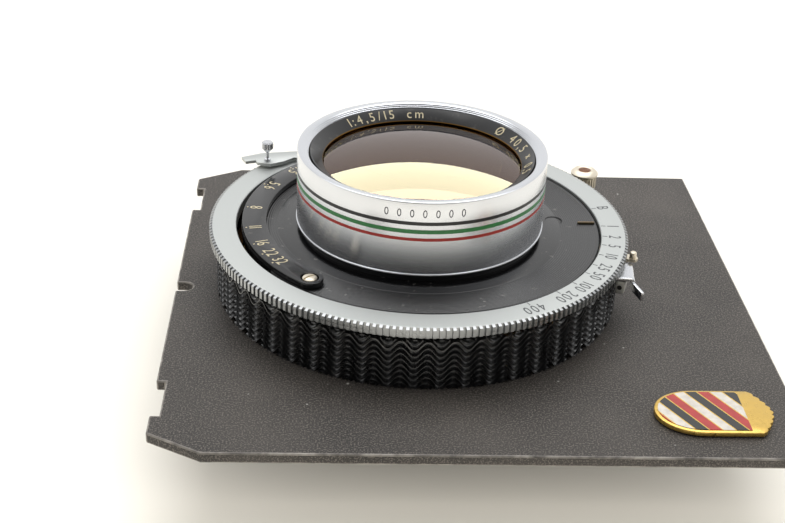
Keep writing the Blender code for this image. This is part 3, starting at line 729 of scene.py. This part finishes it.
class LENS_OT_speed_ring(bpy.types.Operator):
    """Speed ring with cut teeth round its edge and its engraved speeds"""
    bl_idname = "lens.speed_ring"
    bl_label = "Speed ring"
    bore = 31.4
    speeds = (("400", -60.4), ("200", -48.9), ("100", -41.2), ("50", -33.5), ("25", -27.6), ("10", -20.6),
              ("5", -14.0), ("2", -8.2), ("1", -1.3), ("B", 10.9))

    def execute(self, context):
        teeth, root = sizes().knurl_count, RING_R - sizes().knurl_depth / MM
        shares, cut_columns = (0.0, 0.38, 0.44, 0.68, 0.94), 2
        steps = teeth * len(shares)
        profile = [(self.bore, RING_LOW), (self.bore, RING_HIGH - 0.12), (self.bore + 0.12, RING_HIGH),
                   (root - 0.3, RING_HIGH), (root - 0.02, RING_HIGH - 0.02), (RING_R, RING_HIGH - 0.22),
                   (RING_R, RING_LOW + 0.25), (RING_R - 0.3, RING_LOW)]
        ring = spin(profile, steps)
        for vert in ring.verts:
            column = round((bearing(vert.co) % 360.0) / 360.0 * steps) % steps
            tooth, place = divmod(column, len(shares))
            radius = hypot(vert.co.x, vert.co.y)
            if place < cut_columns:
                radius = min(radius, root)
            vert.co = polar(radius, 360.0 * (tooth + shares[place]) / teeth, vert.co.z)
        paint_faces(ring, 1, lambda p: hypot(p.x, p.y) > root - 0.15)
        finish_piece(ring, "speed_ring_finish", "speed_setting",
                     [satin_chrome(), turned_metal("cut_chrome", colours().cut, 0.3)], ["speed_ring"])
        marks = bmesh.new()
        for words, angle in self.speeds:
            letter_ring(marks, words, 3.0, 33.75, angle, RING_HIGH, narrow=0.72, gap=0.14)
            tick = bar(self.bore + 0.2, self.bore + 1.0, 0.07, RING_HIGH - 0.02, RING_HIGH + 0.02)
            carry(turn(tick, angle), marks)
        finish_piece(marks, "speed_figures", "speed_setting",
                     [filled_paint("speed_figure_paint", colours().speeds)])
        finish_node("speed_cam_ring", aged_brass())
        return {"FINISHED"}


class LENS_OT_face_plate(bpy.types.Operator):
    """Black face plate with fine turned grooves, a near-black crescent painted as the shade inside its small
    recess, and its index
    """
    bl_idname = "lens.face_plate"
    bl_label = "Face plate"

    def execute(self, context):
        pitch, depth = sizes().turn_pitch / MM, sizes().turn_depth / MM
        bore, smooth_r, notch, notch_r = 18.4, 24.4, (125.0, 217.0), 30.5
        profile = [(FACE_R, FACE_LOW), (bore, FACE_LOW), (bore, FACE_HIGH), (smooth_r, FACE_HIGH),
                   (smooth_r + 0.1, FACE_HIGH - depth)]
        grooves = int((FACE_R - smooth_r - 0.6) / pitch)
        for i in range(grooves):
            near = smooth_r + 0.15 + pitch * i
            profile += [(near + 0.4 * pitch, FACE_HIGH - 0.2 * depth),
                        (near + 0.6 * pitch, FACE_HIGH - 0.2 * depth),
                        (near + 0.98 * pitch, FACE_HIGH - 1.2 * depth)]
        profile += [(FACE_R - 0.2, FACE_HIGH), (FACE_R, FACE_HIGH - 0.2)]
        plate = spin(profile, 192)
        for vert in plate.verts:
            radius = hypot(vert.co.x, vert.co.y)
            if radius > notch_r and within(vert.co, notch):
                vert.co.xy *= notch_r / radius
        finish_piece(plate, "face_plate_finish", BODY, [turned_black()], ["face_plate"])
        # The crescent is painted shade: a near-black sheet lying flush on the plate where the far wall of a
        # small recess would be in shadow. No recess is cut.
        outer, inner = (23.7, 1.9), (23.56, 1.6)
        crescent = arc(1.5, -35.0, 190.0, 18, outer) + arc(1.4, 190.0, -35.0, 18, inner)
        slot = prism(crescent, FACE_HIGH - 0.02, FACE_HIGH + 0.015)
        finish_piece(slot, "face_plate_slot", BODY,
                     [filled_paint("slot_shadow", srgb("#040404"), 0.8)])
        low, high, _ = corners("speed_index")
        base = soften(bar(27.8, 30.8, 0.2, low.z - 0.12, high.z - 0.1), 0.06)
        line = paint_faces(bar(27.9, 30.7, 0.07, high.z - 0.12, high.z - 0.07), 1, lambda point: True)
        mark = bmesh.new()
        for part in (base, line):
            carry(turn(part, 2.0), mark)
        paints = [filled_paint("index_brass", srgb("#6E6040")), filled_paint("index_paint", srgb("#A08058"))]
        finish_piece(mark, "speed_index_finish", BODY, paints, ["speed_index"])
        return {"FINISHED"}


class LENS_OT_aperture_scale(bpy.types.Operator):
    """Aperture scale plate with its filled figures and its two screws"""
    bl_idname = "lens.aperture_scale"
    bl_label = "Aperture scale"
    stops = (("32", -145.2), ("22", -151.7), ("16", -158.9), ("11", -170.7), ("8", 174.3), ("5.6", 155.8),
             ("4.5", 139.7))

    def execute(self, context):
        plate = merged_copy("aperture_scale_plate")
        for vert in plate.verts:
            if vert.co.z < 0.5 * (FACE_HIGH + SCALE_HIGH):
                vert.co.z = FACE_HIGH + 0.02
        soften(plate, 0.12, 3)
        finish_piece(plate, "aperture_scale_finish", BODY,
                     [black_lacquer("scale_lacquer", 0.16, 0.06)], ["aperture_scale_plate"])
        marks = bmesh.new()
        for words, angle in self.stops:
            letter_ring(marks, words, 3.1, 28.3, angle, SCALE_HIGH, outward=False, narrow=0.72, gap=0.12)
            dot = [(0.0, SCALE_HIGH + 0.02), (0.16, SCALE_HIGH + 0.02), (0.16, SCALE_HIGH - 0.02)]
            spin(dot, 10, closed=False, work=marks, centre=tuple(polar(29.85, angle).xy))
        finish_piece(marks, "aperture_figures", BODY,
                     [filled_paint("figure_paint", colours().figures)])
        self.screw("scale_screw_1", 38.0)
        self.screw("scale_screw_2", -20.0)
        return {"FINISHED"}

    def screw(self, name, slot_turn):
        """A pan-head screw with a slot across its domed head."""
        low, high, spot = corners(name)
        radius, top, rise = 0.5 * (high.x - low.x), high.z, 0.3
        angles = [radians(a) for a in (0, 25, 45, 65, 90)]
        crown = [(radius * sin(a), top - rise * (1 - cos(a))) for a in angles]
        head = spin(crown + [(radius, low.z), (0.0, low.z)], 40, closed=False)
        half, depth = 0.17, 0.35
        for side in (-half, half):
            cut(head, (0, side, 0), (0, 1, 0))
        middles = [(face, face.calc_center_median()) for face in head.faces]
        strip = [face for face, at in middles if abs(at.y) < half and at.z > top - rise + 0.01]
        sunk = bmesh.ops.extrude_face_region(head, geom=strip)["geom"]
        bmesh.ops.delete(head, geom=strip, context="FACES")
        for vert in only_verts(sunk):
            vert.co.z = top - depth
        shift(turn(head, slot_turn), spot)
        finish_piece(head, name + "_finish", BODY, [nickel_plate()], [name])


class LENS_OT_aperture_lever(bpy.types.Operator):
    """Aperture lever with its knurled grip pin"""
    bl_idname = "lens.aperture_lever"
    bl_label = "Aperture lever"

    def execute(self, context):
        lever = soften(merged_copy("aperture_lever"), 0.1, 2)
        finish_piece(lever, "aperture_lever_finish", "aperture_setting", [satin_chrome()],
                     ["aperture_lever"])
        low, high, spot = corners("aperture_pin")
        base, top, steps = low.z, high.z, 48
        pin = spin([(0.0, top), (0.85, top), (1.08, top - 0.2), (1.08, top - 1.25), (0.95, top - 1.4),
                    (0.4, top - 2.0), (0.3, top - 2.2), (0.3, base + 0.5), (0.6, base + 0.4),
                    (0.6, base - 0.08), (0.0, base - 0.08)], steps, closed=False)
        shift(flute(pin, steps, 3, 0.12, lambda r, z: r > 0.8 and z < top - 0.1), spot)
        finish_piece(pin, "aperture_pin_finish", "aperture_setting", [bright_chrome()],
                     ["aperture_pin"])
        return {"FINISHED"}


class LENS_OT_side_levers(bpy.types.Operator):
    """Cocking lever with its bent finger tab, and release lever with its stud"""
    bl_idname = "lens.side_levers"
    bl_label = "Cocking and release levers"

    def execute(self, context):
        thick, top, stud_top = 0.5, 9.2, 10.35
        work = spin([(30.2, top), (30.2, top - thick), (26.2, top - thick), (26.2, top)], 96)
        front, back, out = Vector((34.7, -15.05, 0.0)), Vector((35.3, -9.8, 0.0)), Vector((0.95, -0.1, 0.0))
        path = [(-5.4, top), (-2.5, top)] + dome(0.65, top, 0.65) + [(0.65, 8.1), (0.65, 7.0)]
        arm, rows = bmesh.new(), []
        for i in range(6):
            start_at = back.lerp(front, i / 5)
            rows.append([arm.verts.new(start_at + out * away + Vector((0.0, 0.0, z))) for away, z in path])
        for row, following in zip(rows, rows[1:]):
            for i in range(len(path) - 1):
                arm.faces.new((row[i], following[i], following[i + 1], row[i + 1]))
        edge = [v for v in rows[-1] if v.co.z < top - 0.6]
        tip = [arm.verts.new((36.2, -18.4, min(v.co.z, 8.6))) for v in edge]
        for i in range(len(edge) - 1):
            arm.faces.new((edge[i], tip[i], tip[i + 1], edge[i + 1]))
        bmesh.ops.recalc_face_normals(arm, faces=arm.faces)
        if arm.faces[0].normal.z < 0:
            bmesh.ops.reverse_faces(arm, faces=arm.faces)
        bmesh.ops.solidify(arm, geom=arm.faces[:], thickness=thick)
        soften(arm, 0.07, 2)
        carry(arm, work)
        finish_piece(work, "cocking_lever_finish", "cocking", [bright_chrome()],
                     ["cocking_lever"])
        release = merged_copy("release_lever")
        for vert in release.verts:
            if vert.co.z > top + 0.5:
                vert.co.z = stud_top
        soften(release, 0.25, 3, where=lambda e: all(v.co.z > stud_top - 0.35 for v in e.verts))
        finish_piece(release, "release_lever_finish", "release", [nickel_plate()],
                     ["release_lever"])
        return {"FINISHED"}


class LENS_OT_side_fittings(bpy.types.Operator):
    """Cable release socket on its bracket, and the flash contact"""
    bl_idname = "lens.side_fittings"
    bl_label = "Side fittings"

    def execute(self, context):
        self.socket()
        self.contact()
        return {"FINISHED"}

    def socket(self):
        """The knurled socket that takes a cable release, and its bracket."""
        low, high, spot = corners("cable_release_socket")
        wide, top, bottom, steps = 0.5 * (high.x - low.x), high.z, low.z, 96
        profile = [(1.0, top - 0.5), (1.15, top - 0.12), (1.5, top), (wide - 0.5, top - 0.12),
                   (wide, top - 0.6), (wide, top - 0.9), (wide - 0.15, top - 1.1), (wide - 0.15, 8.9),
                   (wide - 0.3, 8.7), (2.2, 8.6), (2.2, bottom), (0.6, bottom), (0.6, 8.0)]
        socket = spin(profile, steps)
        flute(socket, steps, 4, 0.22, lambda r, z: r > 2.25 and 8.8 < z < top - 1.0)
        paint_faces(socket, 1, lambda p: hypot(p.x, p.y) < 1.1)
        shift(socket, spot)
        bore = turned_metal("copper_bore", srgb("#DDC2B2"), 0.45)
        finish_piece(socket, "cable_socket_finish", BODY, [nickel_plate(), bore],
                     ["cable_release_socket"])
        bracket = soften(merged_copy("socket_bracket"), 0.3, 2)
        finish_piece(bracket, "socket_bracket_finish", BODY, [black_lacquer()],
                     ["socket_bracket"])

    def contact(self):
        """The flash contact's block, under the cocking lever, with a near-black disc on its front painted as
        the shade inside its small opening.
        """
        angle, bottom, top = -19.5, *reach("flash_contact")[1:]
        contact = prism([(35.1, -1.7), (36.6, -1.7), (36.6, 1.7), (35.1, 1.7)], bottom, top)
        soften(contact, 0.25, 3)
        # A thin near-black disc on the front face: painted shade where the contact's opening would be dark
        # inside. The block itself has no opening cut.
        hole = spin([(0.0, 0.0), (0.42, 0.0), (0.42, 0.1), (0.0, 0.1)], 24, closed=False)
        bmesh.ops.transform(hole, matrix=Matrix.Translation((35.8, -1.66, 0.5 * (bottom + top)))
                            @ Matrix.Rotation(radians(90.0), 4, "X"), verts=hole.verts)
        paint_faces(hole, 1, lambda point: True)
        carry(hole, contact)
        finishes = [turned_metal("grey_casting", srgb("#CFCFCB"), 0.55),
                    filled_paint("contact_hole", srgb("#0A0A0A"), 0.7)]
        finish_piece(turn(contact, angle), "flash_contact_finish", BODY, finishes,
                     ["flash_contact"])


class LENS_OT_front_cell(bpy.types.Operator):
    """Front cell with its three painted lines, its figures and its name ring"""
    bl_idname = "lens.front_cell"
    bl_label = "Front cell"
    lines = ((21.77, 0.62, 2), (20.35, 0.72, 3), (18.97, 0.56, 4))

    def execute(self, context):
        wall, sunk, collar = BARREL_R, 0.05, 20.5
        seat, glass_seat, bore, neck = 15.6, 18.6, 16.6, 18.1
        profile = [(wall - 0.3, BARREL_HIGH), (wall - 0.08, BARREL_HIGH - 0.08), (wall, BARREL_HIGH - 0.3)]
        for height, width, _ in self.lines:
            top, low = height + 0.5 * width, height - 0.5 * width
            profile += [(wall, top), (wall - sunk, top - sunk), (wall - sunk, low + sunk), (wall, low)]
        profile += [(wall, BARREL_LOW + 0.3), (wall + 0.12, BARREL_LOW + 0.24),
                    (wall + 0.16, BARREL_LOW + 0.12), (wall + 0.1, BARREL_LOW), (collar, BARREL_LOW),
                    (collar, FACE_HIGH + 0.02), (neck, FACE_HIGH + 0.02), (neck, THREAD_LOW),
                    (bore, THREAD_LOW), (bore, seat), (glass_seat, seat), (glass_seat, 22.6), (19.15, 23.0),
                    (19.15, 24.5)]
        for i in range(3):
            near, level = 19.3 + 0.16 * i, 24.55 + 0.26 * i
            profile += [(near, level), (near + 0.12, level + 0.1), (near, level + 0.2)]
        profile += [(19.85, BARREL_HIGH - 0.08)]
        barrel = spin(profile, 180)
        for height, width, index in self.lines:
            paint_faces(barrel, index, lambda p: abs(p.z - height) < 0.5 * width
                        and hypot(p.x, p.y) > wall - 0.5)
        paint_faces(barrel, 2, lambda p: p.z < BARREL_LOW + 0.01)
        paint_faces(barrel, 1, lambda p: hypot(p.x, p.y) < 19.3 and p.z < 24.5)
        finishes = [bright_chrome(), bronzed_bore(), filled_paint("black_line", srgb("#141516"), 0.3),
                    filled_paint("green_line", colours().green, 0.3),
                    filled_paint("red_line", colours().red, 0.3)]
        finish_piece(barrel, "front_barrel_finish", BODY, finishes, ["front_barrel"])
        figures = letter_ring(bmesh.new(), "0 0 0 0 0 0 0", 1.95, wall, -91.5, 23.5, on_wall=True, gap=0.17,
                              narrow=0.8)
        finish_piece(figures, "barrel_figures", BODY,
                     [filled_paint("barrel_figure_paint", srgb("#2A2C30"))])
        ring = spin([(18.95, 24.75), (18.95, 23.0), (16.95, 23.0), (16.78, 23.1), (16.86, 23.22),
                     (18.8, 24.75)], 144)
        paint_faces(ring, 1, lambda p: hypot(p.x, p.y) < 16.9)
        finishes = [black_lacquer("ring_lacquer", 0.32, 0.1), turned_metal("amber_lip", srgb("#7A5A2A"), 0.3)]
        finish_piece(ring, "name_ring_finish", BODY, finishes, ["name_ring"])
        words, slope = bmesh.new(), 38.2
        for text, angle in (("1:4,5/15 cm", 110.0), ("Ø 40,5 × 0,5", 10.0)):
            letter_ring(words, text, 2.5, 17.9, angle, 24.07, slope=slope, gap=0.28, narrow=0.9)
        finish_piece(words, "name_ring_figures", BODY,
                     [filled_paint("ring_figure_paint", colours().figures)])
        for node in ("element_spacer", "centre_retainer"):
            finish_node(node, black_lacquer())
        return {"FINISHED"}


class LENS_OT_glass(bpy.types.Operator):
    """Five lens elements in three groups"""
    bl_idname = "lens.glass"
    bl_label = "Lens elements"
    # name, (apex height, curve radius) of the front and back faces, and rim radius
    elements = (
        ("front_glass_outer", (25.1, 61.8), (18.6, -60.0), 18.3),
        ("front_glass_inner", (18.5, -60.0), (16.9, 220.0), 18.3),
        ("centre_glass", (11.7, -130.0), (10.4, 130.0), 16.3),
        ("rear_glass_inner", (-8.6, -160.0), (-10.2, 75.0), 15.9),
        ("rear_glass_outer", (-10.3, 75.0), (-15.4, -70.0), 15.9),
    )

    def execute(self, context):
        # At a real index, total reflection between the elements fills the bore with white, so only the two
        # outer faces bend light. Theirs is above a real one for the strength of the coating's reflection.
        plain = lens_glass("bloomed_inner_glass", 1.03, srgb("#000000"))
        coated = lens_glass("coated_glass", 2.0, colours().coating)
        chamfer = 0.25
        for name, front, back, radius in self.elements:
            profile = self.surface(*front, radius - chamfer) + self.surface(*back, radius - chamfer)[::-1]
            middle = len(profile) // 2
            high, low = profile[middle - 1][1], profile[middle][1]
            profile[middle:middle] = [(radius, high - chamfer), (radius, low + chamfer)]
            element = spin(profile, 96, closed=False)
            # The rims take the edging paint: black, with a painted brown reflection of the coating's tint.
            paint_faces(element, 1, lambda p: hypot(p.x, p.y) > radius - chamfer)
            outward = {"front_glass_outer": 1.0, "rear_glass_outer": -1.0}.get(name, 0.0)
            paint_faces(element, 2, lambda p: outward * (p.z - 0.5 * (high + low)) > 0
                        and hypot(p.x, p.y) < radius - chamfer)
            finish_piece(element, name + "_finish", BODY, [plain, rim_paint_and_reflection(), coated], [name])
        return {"FINISHED"}

    def surface(self, apex, curve, radius, count=14):
        """Points of a spherical face from the axis out. A positive curve bows forwards."""
        size, steps = abs(curve), [radius * i / count for i in range(count + 1)]
        return [(r, apex - (size - sqrt(size ** 2 - r ** 2)) * curve / size) for r in steps]


class LENS_OT_rear_cell(bpy.types.Operator):
    """Rear cell with its knurled flange"""
    bl_idname = "lens.rear_cell"
    bl_label = "Rear cell"

    def execute(self, context):
        radius, rim, top = reach("rear_barrel")
        steps, bore = 480, 16.2
        profile = [(17.6, top), (17.6, -6.8), (radius - 0.25, -6.8), (radius, -7.05), (radius, -9.15),
                   (radius - 0.3, -9.4), (19.4, -10.9), (18.3, rim + 1.2), (18.1, rim + 1.0),
                   (18.1, rim + 0.3), (17.8, rim), (17.0, rim), (16.8, rim + 0.2), (16.6, rim + 0.5),
                   (16.7, rim + 0.6),
                   (16.4, rim + 0.9), (bore, rim + 1.2), (bore, top)]
        barrel = flute(spin(profile, steps), steps, 3, 0.3, lambda r, z: r > radius - 0.2)
        finish_piece(barrel, "rear_barrel_finish", BODY, [black_lacquer()], ["rear_barrel"])
        retainer = soften(merged_copy("rear_retainer"), 0.15)
        finish_piece(retainer, "rear_retainer_finish", BODY, [black_lacquer()],
                     ["rear_retainer"])
        return {"FINISHED"}


class LENS_OT_works(bpy.types.Operator):
    """Finishes of the leaves, plates, rings and spring inside the shutter"""
    bl_idname = "lens.works"
    bl_label = "Shutter works"

    def execute(self, context):
        steel = ["iris_plate", "shutter_plate", "mainspring"]
        steel += [name for name in NODES if "_blade_" in name]
        for name in steel:
            finish_node(name, blackened_steel())
        finish_node("blade_drive_ring", aged_brass())
        finish_node("aperture_ring", bronzed_bore())
        return {"FINISHED"}


class LENS_OT_stage(bpy.types.Operator):
    """White paper floor, soft light and the camera"""
    bl_idname = "lens.stage"
    bl_label = "Stage"

    def execute(self, context):
        stage = context.scene.lens_stage
        work = bmesh.new()
        bmesh.ops.create_grid(work, x_segments=1, y_segments=1, size=6.0)
        bmesh.ops.translate(work, vec=(0, 0, CAD_BOX[0][2] - 0.0002), verts=work.verts)
        mesh = bpy.data.meshes.new("paper_floor")
        work.to_mesh(mesh)
        work.free()
        mesh.materials.append(self.paper())
        floor_piece = bpy.data.objects.new("paper_floor", mesh)
        context.scene.collection.objects.link(floor_piece)
        self.sky(context, stage)
        self.soft_box("top_box", (0.0, 0.25, 0.95), (1.0, 0.9), stage.key)
        fill = self.soft_box("floor_fill", (0.0, -0.8, 0.45), (1.6, 0.8), stage.fill)
        fill.data.color = (1.0, 0.96, 0.88)
        self.light_only(fill, "paper_floor")
        glass_box = self.soft_box("glass_box", (0.03, 0.70, 0.713), (1.5, 0.37), stage.glass)
        glass_box.data.color = (0.82, 1.0, 0.75)
        self.light_only(glass_box, "front_glass_outer_finish")
        self.camera(context, stage)
        context.scene.view_settings.view_transform = "Standard"
        return {"FINISHED"}

    def light_only(self, lamp, name):
        """Keeps a lamp's light to one piece."""
        only = bpy.data.collections.new("lit_by_" + lamp.name)
        only.objects.link(bpy.data.objects[name])
        lamp.light_linking.receiver_collection = only

    def paper(self):
        """White background paper, quite matt, with a barely visible fibre."""
        made, tree, shader = start("background_paper", {"Roughness": 0.9, "Specular IOR Level": 0.2})
        if tree:
            fibre = spread(tree, speckle(tree, 30.0, 3.0), 0.3, 0.7, 0.0, 0.15)
            tree.links.new(blend(tree, fibre, colours().floor, srgb("#E9E6DF")), shader.inputs["Base Color"])
        return made

    def sky(self, context, stage):
        """White room light, dimmer from in front where the camera stands."""
        world = bpy.data.worlds.new("studio")
        world.use_nodes = True
        context.scene.world = world
        tree = world.node_tree
        where = add(tree, "ShaderNodeTexCoord")
        parts = add(tree, "ShaderNodeSeparateXYZ", None, {0: where.outputs["Generated"]})
        glow = spread(tree, parts.outputs[1], -0.95, 0.0, 0.1, 1.0)
        high = spread(tree, parts.outputs[2], 0.45, 0.9, 1.0, 0.7)
        both = add(tree, "ShaderNodeMath", {"operation": "MULTIPLY"}, {0: glow, 1: high}).outputs[0]
        power = add(tree, "ShaderNodeMath", {"operation": "MULTIPLY", 1: stage.sky}, {0: both}).outputs[0]
        tree.nodes["Background"].inputs["Color"].default_value = srgb("#FFFFFF")
        tree.links.new(power, tree.nodes["Background"].inputs["Strength"])

    def soft_box(self, name, place, size, power):
        """An area light that faces the lens."""
        light = bpy.data.lights.new(name, "AREA")
        light.shape, light.size, light.size_y, light.energy = "RECTANGLE", *size, power
        lamp = bpy.data.objects.new(name, light)
        lamp.location = AXIS + Vector(place)
        lamp.rotation_euler = (-Vector(place)).to_track_quat("-Z", "Y").to_euler()
        bpy.context.scene.collection.objects.link(lamp)
        return lamp

    def camera(self, context, stage):
        view = bpy.data.cameras.new("camera")
        view.sensor_width, view.lens, view.clip_start = 36.0, stage.camera_lens, 0.005
        pan, tilt = stage.camera_pan, stage.camera_tilt
        ahead = Vector((sin(pan) * cos(tilt), cos(pan) * cos(tilt), -sin(tilt)))
        right = Vector((cos(pan), -sin(pan), 0.0))
        aim = Matrix((right, right.cross(ahead), -ahead)).transposed().to_4x4()
        holder = bpy.data.objects.new("camera", view)
        holder.matrix_world = (Matrix.Translation(AXIS + Vector(stage.camera_place)) @ aim
                               @ Matrix.Rotation(stage.camera_roll, 4, "Z"))
        context.scene.collection.objects.link(holder)
        context.scene.camera = holder


class LENS_PT_panel(bpy.types.Panel):
    """Lists the sizes, the colours and the steps that build the lens"""
    bl_idname = "LENS_PT_panel"
    bl_label = "Lens in a leaf shutter"
    bl_space_type = "VIEW_3D"
    bl_region_type = "UI"
    bl_category = "Lens"

    def draw(self, context):
        layout = self.layout
        for settings in (context.scene.lens_sizes, context.scene.lens_colours, context.scene.lens_stage):
            box = layout.box()
            for key in settings.bl_rna.properties.keys():
                if key not in ("rna_type", "name"):
                    box.prop(settings, key)
        for step in STEPS:
            layout.operator(step.bl_idname)


STEPS = (LENS_OT_board, LENS_OT_badge, LENS_OT_casing, LENS_OT_speed_ring, LENS_OT_face_plate,
         LENS_OT_aperture_scale, LENS_OT_aperture_lever, LENS_OT_side_levers, LENS_OT_side_fittings,
         LENS_OT_front_cell, LENS_OT_glass, LENS_OT_rear_cell, LENS_OT_works, LENS_OT_stage)
CLASSES = (LensColours, LensSizes, LensStage) + STEPS + (LENS_PT_panel,)


def register():
    for each in CLASSES:
        bpy.utils.register_class(each)
    bpy.types.Scene.lens_colours = PointerProperty(type=LensColours)
    bpy.types.Scene.lens_sizes = PointerProperty(type=LensSizes)
    bpy.types.Scene.lens_stage = PointerProperty(type=LensStage)


def unregister():
    for name in ("lens_colours", "lens_sizes", "lens_stage"):
        delattr(bpy.types.Scene, name)
    for each in reversed(CLASSES):
        bpy.utils.unregister_class(each)


def main():
    register()
    for step in STEPS:
        group, name = step.bl_idname.split(".")
        getattr(getattr(bpy.ops, group), name)()


if __name__ == "__main__":
    main()
